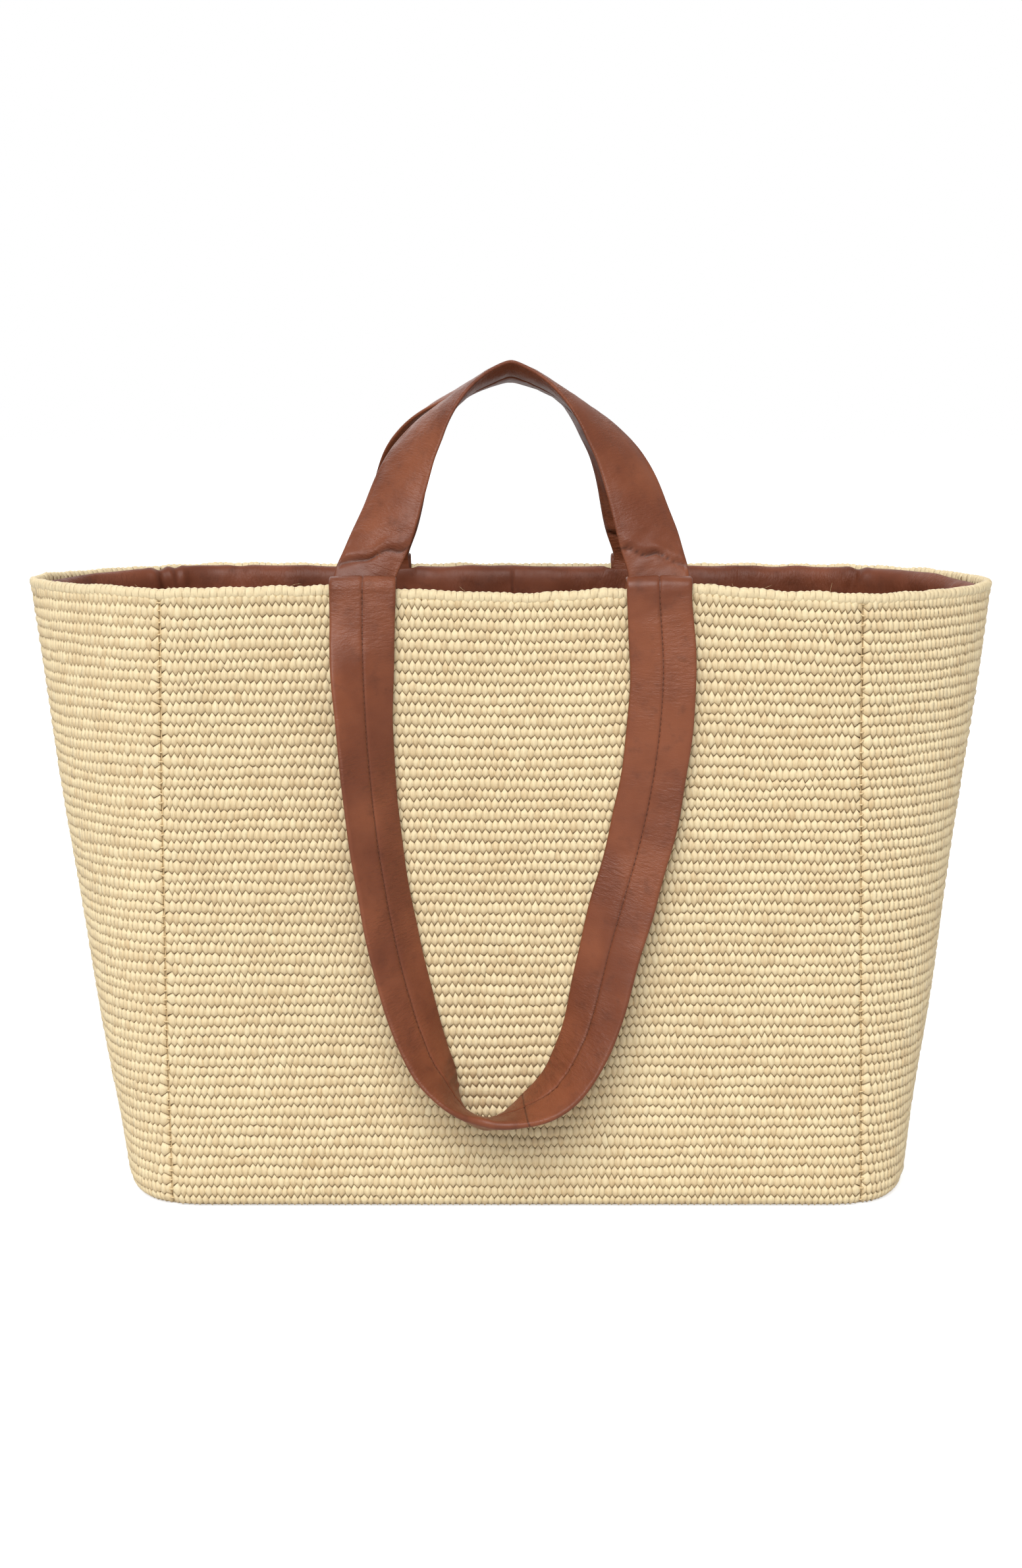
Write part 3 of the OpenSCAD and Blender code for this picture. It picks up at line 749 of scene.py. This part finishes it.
def plate(name, z, thickness, off, material, puff=0.0):
    """A closed flat piece that fills the bag at height z, its edge off in from the outside."""
    n = 200
    share = np.arange(n) / n
    edge = wall_point(FRONT, (share * 4 - 2) * quarter_length(z), z, off)[:, :2]
    middle = edge.mean(0)
    steps = np.array([0.03, 0.2, 0.4, 0.6, 0.75, 0.87, 0.94, 0.98, 1.0])
    rows = []
    for face, scale in ((0, steps), (1, steps[::-1])):
        for f in scale:
            xy = middle + (edge - middle) * f
            lift = puff * smooth_noise(81, xy[:, 0] / 90, xy[:, 1] / 60) * (1 - f ** 6)
            tuck = 0.35 * thickness * (f == 1) * (1 if face == 0 else -1)
            rows.append(np.column_stack([xy, z + face * thickness + tuck + np.abs(lift)]))
    points = np.concatenate(rows + [[[*middle, z]], [[*middle, z + thickness]]])
    quads = grid_faces(len(rows), n, False, True)
    i = np.arange(n)
    low, top, last = len(points) - 2, len(points) - 1, (len(rows) - 1) * n
    fans = [np.stack([np.full(n, low), (i + 1) % n, i], -1),
            np.stack([np.full(n, top), last + i, last + (i + 1) % n], -1)]
    piece = make_piece(name, points, [quads, *fans], material)
    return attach(piece, "bag")


base_board = plate("stiff_board", 4.8, 2.0, FOOT_TURN + 6.6, BOARD)
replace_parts(base_board, "base_board")
base_cloth = plate("floor_lining", 7.0, LINING_T, FOOT_TURN + 5.6, LINING, 0.5)
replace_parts(base_cloth, "base_lining")

BASE_ROWS = 31
BASE_EDGE = 5.0
base_x, base_y = quarter(0)


def base_half(y):
    return np.interp(np.abs(y) + BASE_EDGE, -base_y[::-1], base_x[::-1]) - BASE_EDGE


def base_point(a, b, depth):
    """The underside: rows run across the bag, and b grows to the front."""
    return np.stack([a + 3.0, -b, 0.35 + 0.8 * np.clip(depth, 0, None)], -1)


base_widths = [base_half((r + 0.5 - BASE_ROWS / 2) * ROW_H) for r in range(BASE_ROWS)]
base = weave("base_weave", base_widths, lambda level, a: (level - BASE_ROWS / 2) * ROW_H + 0 * a,
             base_point, 105, seam_sink=0.5)
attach(base, "bag")
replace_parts(base, "base_panel")

# Cord of the base seam, a closed ring under the foot of the walls
FOOT_STEPS, FOOT_SIDES, FOOT_CORD_R = 420, 8, 0.85
foot_share = np.linspace(0, 1, FOOT_STEPS, endpoint=False)
foot_path = wall_point(FRONT, (foot_share * 4 - 2) * quarter_length(0.9), 1.0, 4.4)
foot_turns = np.linspace(0, 2 * math.pi, FOOT_SIDES, endpoint=False)[None, :, None]
foot_out = unit(np.cross(np.gradient(foot_path, axis=0), [0, 0, 1]))
foot_points = foot_path[:, None] + FOOT_CORD_R * (np.cos(foot_turns) * foot_out[:, None]
                                                  + np.sin(foot_turns) * [0, 0, 1])
base_seam = make_piece("base_seam", foot_points.reshape(-1, 3),
                       [grid_faces(FOOT_STEPS, FOOT_SIDES, True, True)], STRAW_THREAD)
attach(base_seam, "bag")
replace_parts(base_seam, "base_seam_thread")


# ---- Leather ribbons ----

def curve(rows, t):
    """Smooth curve through the rows of a list, at t from 0 to 1."""
    rows = np.array(rows, float)
    n = len(rows) - 1
    i = np.minimum(np.floor(t * n).astype(int), n - 1)
    f = (t * n - i)[:, None]
    a, b, c, d = rows[np.maximum(i - 1, 0)], rows[i], rows[i + 1], rows[np.minimum(i + 2, n)]
    return (2 * b + (c - a) * f + (2 * a - 5 * b + 4 * c - d) * f ** 2
            + (3 * b - a - 3 * c + d) * f ** 3) / 2


def lengths(path):
    """Length of a path from its start to each of its points."""
    return np.concatenate([[0], np.cumsum(np.linalg.norm(np.diff(path, axis=0), axis=1))])


def settled(values, passes):
    """Rows smoothed along their length, with both ends kept."""
    for _ in range(passes):
        values[1:-1] = (values[:-2] + 2 * values[1:-1] + values[2:]) / 4
    return values


# Places of a ribbon's points across a face, closest at the seam, and round a rolled edge
HALF_FACE = [0.045, 0.09, 0.16, 0.28, 0.44, 0.62, 0.8, 0.93, 1]
FACE = np.array([-f for f in HALF_FACE[::-1]] + [0] + HALF_FACE)
EDGE = np.radians([-62, -35, 0, 35, 62])


def ribbon(name, frames, crown, relief):
    """A closed leather ribbon. frames holds its middle line, the directions across and up, its half
    width, its half thickness and its length so far. crown is how much thinner it is at its edges, and
    relief gives how far each face stands out and how much painted shade darkens its creases."""
    middle, across, up, half_w, half_t, length = frames
    columns = []
    for sign in (1, -1):
        for f in FACE[::-sign]:
            columns.append((f, sign * (1 - crown * np.abs(f) ** 2.6), 0.0))
        for e in EDGE[::-sign]:
            columns.append((-sign, math.sin(e) * (1 - crown), math.cos(e)))
    p, q, bulge = np.array(columns).T[:, None]
    w, t = half_w[:, None], half_t[:, None]
    flat_half = w - 0.8 * t
    x = p * flat_half + np.sign(p) * bulge * 0.8 * t
    lift, crease = relief(length[:, None] + 0 * p, x, np.sign(q) + 0 * w)
    z = q * t + np.sign(q) * lift * (bulge == 0)
    points = middle[:, None] + x[..., None] * across[:, None] + z[..., None] * up[:, None]
    n, m = x.shape
    faces = grid_faces(n, m, False, True)[:, ::-1]
    a = np.arange(len(FACE) - 1)
    b = m - len(EDGE) - 1 - a
    flat = np.stack([a, a + 1, b - 1, b], -1)
    round_edges = (np.array([[a[-1] + 1], [b[0]]]) + np.arange(len(EDGE) + 2)) % m
    caps = [(row * m + part)[:, ::order] for row, order in ((0, 1), (n - 1, -1))
            for part in (flat, round_edges)]
    along = np.stack([x, length[:, None] + 0 * x, z], -1).reshape(-1, 3)
    return make_piece(name, points.reshape(-1, 3), [faces, *caps], TAN, along=along, crease=crease.ravel())


def with_ends(end, end_up, sign, middle, across, up):
    """A ribbon's lines with its sewn-in ends added. sign is the way across points on the left."""
    beside = np.tile([sign, 0, 0], (len(end), 1))
    aside = [STRAP_X, 0, 0]
    return (np.concatenate([end - aside, middle, (end + aside)[::-1]]),
            np.concatenate([beside, across, -beside]),
            np.concatenate([end_up, up, end_up[::-1]]))


def turned(points, back):
    """The same points on the back half of the bag, which is the front half turned half a turn."""
    return points * np.array([-1, -1, 1]) if back else points


# A strap's middle line from its left fold to its right: distance right, drop below the fold, and how far
# its face is turned away from the front, in degrees
STRAP_LINE = [
    [-STRAP_X, 0, 0], [-STRAP_X, 5, 0], [-71.7, 20, 6], [-71.6, 42, 24], [-70.3, 72, 36],
    [-67.8, 104, 40], [-63.8, 136, 42], [-58.2, 168, 43], [-51, 199, 43], [-41.7, 227.5, 53],
    [-33.9, 241, 66], [-28.8, 250.5, 84], [-22, 259.5, 105], [-11.5, 263.5, 109], [-2, 260.5, 95],
    [7.3, 256, 79], [17.6, 250.2, 64], [26.2, 241.9, 55], [33.5, 229, 45], [40, 213, 35],
    [48.5, 177, 22], [56, 150, 14], [64.5, 118, 9], [70.8, 82, 6], [73.8, 45, 4], [72.5, 20, 1],
    [STRAP_X, 5, 0], [STRAP_X, 0, 0]]
STRAP_JOIN = 0.556  # share of the line where the two halves are sewn together


def strap_frames():
    """The frames of a front strap, the length at its join, and the number of points in an end."""
    t = np.linspace(0, 1, 330)
    row = settled(curve(STRAP_LINE, t), 25)
    along = unit(np.stack([np.gradient(row[:, 0]), 0 * t, -np.gradient(row[:, 1])], -1))
    outward = np.stack([along[:, 2], 0 * t, -along[:, 0]], -1)
    turn = np.radians(row[:, 2])[:, None]
    front = np.array([[0, -1, 0]])
    across = np.cos(turn) * outward + np.sin(turn) * front
    up = np.cos(turn) * front - np.sin(turn) * outward
    y = -(WALL_Y + 0.6 + RIBBON_W / 2 * np.sin(turn[:, 0]) + STRAP_T / 2 * np.cos(turn[:, 0]))
    middle = np.stack([row[:, 0], y, FOLD_Z - row[:, 1]], -1)
    join = np.searchsorted(t, STRAP_JOIN)

    # Over the rim and down inside it
    fold = np.linspace(0, math.pi, 14)[:-1]
    rise = np.linspace(RIM_H - END_DEPTH, FOLD_Z, 16)[:-1]
    end = np.concatenate([
        np.stack([0 * rise, 0 * rise - STRAP_IN_Y, rise], -1),
        np.stack([0 * fold, -FOLD_Y + FOLD_R * np.cos(fold), FOLD_Z + FOLD_R * np.sin(fold)], -1)])
    end_up = np.concatenate([np.tile([0, 1, 0], (len(rise), 1)),
                             np.stack([0 * fold, np.cos(fold), np.sin(fold)], -1)])
    n = len(end)
    middle, across, up = with_ends(end, end_up, -1, middle, across, up)
    thick = np.full(len(middle), STRAP_T / 2)
    thick[:n] = thick[-n:] = STRAP_IN_T / 2
    thick = settled(thick, 8)
    length = lengths(middle)
    to_join = length - length[n + join]
    lap = ramp(to_join, -0.4, 0.4) * (1 - 0.8 * ramp(to_join, 6, 40))
    half_w = RIBBON_W / 2 + 0.35 * lap + 0.3 * smooth_noise(91, length / 60)
    half_t = thick + 0.22 * lap + 1.5 * bell(to_join + 20, 21)
    return [middle, unit(across), unit(up), half_w, half_t, length], length[n + join], n


def strap_relief(seed, join):
    def relief(s, x, face):
        """The sewn face has a butted seam down its middle; soft leather ripples across the strap."""
        sewn = face > 0
        seam = bell(x, 0.45) * sewn
        join_line = bell(s - join, 0.6)
        ripple = 0.16 * smooth_noise(seed, s / 16, x / 26) + 0.10 * smooth_noise(seed + 1, s / 6, x / 14)
        bend = bell(s - join - 24, 16) + bell(s - join + 48, 14)
        creases = smooth_noise(seed + 2, s / 4.2 + x / 30, x / 18)
        ripple = ripple + 0.45 * bend * ramp(-x, -12, 12) * creases
        lift = ripple - 0.6 * seam + 0.12 * bell(np.abs(x) - 2.2, 1.4) * sewn - 0.5 * join_line
        # The second value is painted shade, darker in the seam groove and along the join line.
        return lift, np.clip(0.6 * seam + 0.8 * join_line, 0, 1)
    return relief


STITCH_PITCH, STITCH_SHARE = 2.8, 0.62
STITCH_ARCH = 0.24 * np.array([-0.35, 0.6, 1, 0.6, -0.35])


def stitch_paths(line, up, length, start, stop):
    """Short arched threads along a line on a surface."""
    paths = []
    for s in np.arange(start, stop, STITCH_PITCH):
        at = s + np.linspace(0, STITCH_PITCH * STITCH_SHARE, 5)
        points, away = (np.stack([np.interp(at, length, v) for v in values.T], -1) for values in (line, up))
        paths.append(points + unit(away) * STITCH_ARCH[:, None])
    return paths


def sewn_ribbon(body, back, frames, crown, relief, sewn_face, inset, shift, margin):
    """A ribbon and the stitches of its sewn face, 1 or -1: inset below it, shift beside its middle."""
    middle, across, up, half_w, half_t, length = frames
    turned_frames = [turned(v, back) for v in (middle, across, up)]
    leather = ribbon(f"{body}_leather", turned_frames + [half_w, half_t, length], crown, relief)
    away = up * sewn_face
    line = middle + away * (half_t - inset)[:, None] + across * shift
    paths = stitch_paths(turned(line, back), turned(away, back), length, length[margin], length[-margin - 1])
    sewing = threads(f"{body}_stitches", paths, 0.26, LEATHER_THREAD, 5)
    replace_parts(sewing, f"{body}_stitching")
    return leather, sewing


def make_strap(side, back):
    body, y = f"{side}_strap", 1 if back else -1
    frames, join, n = strap_frames()
    relief = strap_relief(110 + 10 * back, join)
    leather, sewing = sewn_ribbon(body, back, frames, 0.25, relief, 1, 0.45, 0.25, n + 2)
    for part in (leather, sewing):
        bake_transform(part)
    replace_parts(leather, f"{body}_left", f"{body}_right", f"{body}_left_core", f"{body}_right_core",
                f"{body}_folds", f"{side}_left_strap_end", f"{side}_right_strap_end")


make_strap("front", False)
make_strap("back", True)

# One leg of a handle, from its bend to the crown, in its own leaning plane:
# distance from the middle, share of the height, turn in degrees, share of the thickness
HANDLE_LEG = [
    [STRAP_X, 0, 0, 0.5], [71, 0.04, 0, 0.5], [69, 0.10, 3, 0.7], [66.4, 0.17, 9, 0.9],
    [64, 0.24, 17, 1], [61, 0.33, 24, 1.05], [58.2, 0.42, 26, 1.1], [55, 0.51, 30, 1.1],
    [51, 0.60, 38, 1.1], [46, 0.68, 44, 1.1], [40.5, 0.76, 53, 1.1], [32.5, 0.845, 64, 1.05],
    [22, 0.925, 77, 1], [11, 0.983, 86, 1], [0, 1.025, 90, 1]]


def handle_frames(sway, spread):
    """The frames of a front handle, the heights of their points above its bend, and the number of points
    in an end. sway bows it to the right, and spread fills out its shoulders."""
    t = np.linspace(0, 1, 190)
    leg = curve(HANDLE_LEG, 1 - np.abs(2 * t - 1))
    leg[:, 2:] = settled(leg[:, 2:].copy(), 40)
    x, z = np.where(t < 0.5, -1, 1) * leg[:, 0], leg[:, 1] * HANDLE_H
    x, z = settled(x.copy(), 6), settled(z.copy(), 6)
    h = z / HANDLE_H
    x = x + spread * np.where(x > 0, 1.3 * bell(h - 0.72, 0.25), -0.8 * bell(h - 0.5, 0.3))
    along = unit(np.stack([np.gradient(x), 0 * t, np.gradient(z)], -1))
    outward = np.stack([-along[:, 2], 0 * t, along[:, 0]], -1)
    turn = np.radians(leg[:, 2])[:, None]
    front = np.array([[0, -1, 0]])
    across = np.sin(turn) * front - np.cos(turn) * outward
    up = np.cos(turn) * front + np.sin(turn) * outward
    lean = math.radians(HANDLE_LEAN)
    tilt = np.array([[1, 0, 0], [0, math.cos(lean), math.sin(lean)], [0, -math.sin(lean), math.cos(lean)]])
    x = x + sway * np.sin(math.pi * np.clip(h, 0, 1) ** 0.8)
    middle = np.stack([x, 0 * t, z], -1) @ tilt.T + [0, -HANDLE_Y, HANDLE_Z]
    across, up = across @ tilt.T, up @ tilt.T
    rise = np.linspace(RIM_H - END_DEPTH, HANDLE_Z, 18)[:-1]
    n = len(rise)
    end = np.stack([0 * rise, 0 * rise - HANDLE_Y, rise], -1)
    middle, across, up = with_ends(end, np.tile([0, -1, 0], (n, 1)), 1, middle, across, up)
    half_t = HANDLE_T / 2 * np.concatenate([np.full(n, 0.5), leg[:, 3], np.full(n, 0.5)])
    height = np.concatenate([rise - HANDLE_Z, z, rise[::-1] - HANDLE_Z])
    across, up = settled(across, 3), settled(up, 3)
    length = lengths(middle)
    half_w = RIBBON_W / 2 - 1.3 * bell(height - 8, 12) - 0.8 * ramp(height, 85, 105)
    return [middle, unit(across), unit(up), half_w, half_t, length], height, n


def handle_relief(seed, length, height):
    total = length[-1]

    def relief(s, x, face):
        """A seam down the underside, soft ripples, and the folds where each leg bends at the rim."""
        h = np.interp(s, length, height)
        first = s < total / 2
        under = face < 0
        seam = bell(x, 0.6) * under
        ripple = 0.22 * smooth_noise(seed, s / 20, x / 22) + 0.10 * smooth_noise(seed + 1, s / 7, x / 12)
        fold_a = h - 12 - 0.55 * x + 1.5 * smooth_noise(seed + 2, x / 18 + first * 5)
        fold_b = h - 23 - 0.35 * x
        near = bell(h - 14, 15)
        beside = ramp(x, -4, 6)
        folds = near * (1.3 * bell(fold_a - 3.2, 3) - 1.5 * bell(fold_a, 1.2)
                        + 0.5 * bell(fold_b - 3, 3) - 0.6 * bell(fold_b, 1.3) * beside)
        lift = ripple + folds * (h > 1) - 0.8 * seam
        # Painted shade: darker in the underside seam and in the folds where each leg bends.
        crease = 0.7 * seam + near * (0.85 * bell(fold_a, 1.0) + 0.4 * bell(fold_b, 0.9) * beside)
        return lift, np.clip(crease, 0, 1)
    return relief


def make_handle(side, back, sway, spread):
    body, y = f"{side}_handle", 1 if back else -1
    frames, height, n = handle_frames(sway, spread)
    relief = handle_relief(130 + 10 * back, frames[-1], height)
    leather, sewing = sewn_ribbon(body, back, frames, 0.62, relief, -1, 0.5, 0.3, n + 4)
    for part in (leather, sewing):
        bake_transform(part)
    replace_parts(leather, f"{body}_cover", f"{body}_core", f"{side}_left_handle_end",
                f"{side}_right_handle_end")


make_handle("front", False, sway=2.4, spread=0.0)
make_handle("back", True, sway=0.5, spread=4.0)

# Box stitches over the sewn-in ends, on the inside of the facing
box_paths = []
for side in (FRONT, BACK):
    for middle_x in (-STRAP_X, STRAP_X):
        for a, b in zip(BOX_CORNERS[:-1], BOX_CORNERS[1:]):
            span = np.linalg.norm(b - a)
            for s in np.arange(0.4, span - 2, 2.9):
                at = (s + np.linspace(0, 2.0, 4)) / span
                xz = a + (b - a) * at[:, None]
                off = 12.15 + np.array([-0.35, 0.35, 0.35, -0.35])
                box_paths.append(wall_point(side, middle_x + xz[:, 0], BOX_Z + xz[:, 1], off))
box_stitches = threads("box_stitches", box_paths, 0.24, LEATHER_THREAD, 5)
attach(box_stitches, "bag")
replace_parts(box_stitches, "end_stitching")

# Stray fibres along the rim
random = np.random.default_rng(17)
hair_paths = []
for _ in range(70):
    s = random.uniform(-2, 2) * quarter_length(RIM_H)
    root = wall_point(FRONT, s, RIM_H - random.uniform(0, 3), random.uniform(0.5, 3))
    aim = unit(np.array([random.normal(0, 1), random.normal(0, 1), random.uniform(0.2, 1.2)]))
    bend = random.normal(0, 1, 3) * random.uniform(0.5, 2.2)
    u = np.linspace(0, 1, 6)[:, None]
    hair_paths.append(root + aim * u * random.uniform(2, 5) + bend * u ** 2)
hairs = threads("stray_fibres", hair_paths, 0.05, STRAW_THREAD, 3)
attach(hairs, "bag")


# ---- Light, floor and camera ----


def placed(name, data, turn, place=(0, 0, 0)):
    """An object that holds a light or camera, turned by degrees about each axis."""
    item = bpy.data.objects.new(name, data)
    item.location = place
    item.rotation_euler = [math.radians(a) for a in turn]
    bpy.context.scene.collection.objects.link(item)
    return item


def add_sun(name, energy, angle, turn):
    light = bpy.data.lights.new(name, "SUN")
    light.energy, light.angle = energy, math.radians(angle)
    placed(name, light, turn)


add_sun("soft_sun", 2.9, 42, (46, 0, -12))
add_sun("back_fill", 0.8, 60, (-55, 0, 15))

world = bpy.data.worlds.new("studio")
world.use_nodes = True
nodes, links = world.node_tree.nodes, world.node_tree.links
soft, white = nodes["Background"], nodes.new("ShaderNodeBackground")
for background, strength in ((soft, 0.48), (white, 1.0)):
    background.inputs["Color"].default_value = (1, 1, 1, 1)
    background.inputs["Strength"].default_value = strength
path = nodes.new("ShaderNodeLightPath")
mix = nodes.new("ShaderNodeMixShader")
links.new(path.outputs["Is Camera Ray"], mix.inputs[0])
links.new(soft.outputs[0], mix.inputs[1])
links.new(white.outputs[0], mix.inputs[2])
links.new(mix.outputs[0], nodes["World Output"].inputs["Surface"])
bpy.context.scene.world = world
bpy.context.scene.view_settings.view_transform = "Standard"

floor_material, floor_shader, floor_add, floor_link = new_material("floor", 0.9, 0.0)
floor_shader.inputs["Base Color"].default_value = (0.6, 0.6, 0.6, 1)
floor_shader.inputs["Emission Color"].default_value = (1, 1, 1, 1)
seen = floor_add("ShaderNodeLightPath").outputs["Is Camera Ray"]
floor_link(ranged(floor_add, seen, 0, 1, 0.1, 0.62), "Emission Strength")
FLOOR_HALF = 20000
floor_corners = np.array([(-1, -1, 0), (1, -1, 0), (1, 1, 0), (-1, 1, 0)]) * FLOOR_HALF
floor = make_piece("floor", floor_corners, [[(0, 1, 2, 3)]], floor_material)

EYE_AT, EYE_DOWN, LENS = (0, -1.223, 0.404), 9.38, 54.1  # metres, degrees, millimetres
camera = bpy.data.cameras.new("camera")
camera.sensor_width, camera.lens = 36, LENS
camera.clip_start, camera.clip_end = 0.05, 60
bpy.context.scene.camera = placed("camera", camera, (90 - EYE_DOWN, 0, 0), EYE_AT)
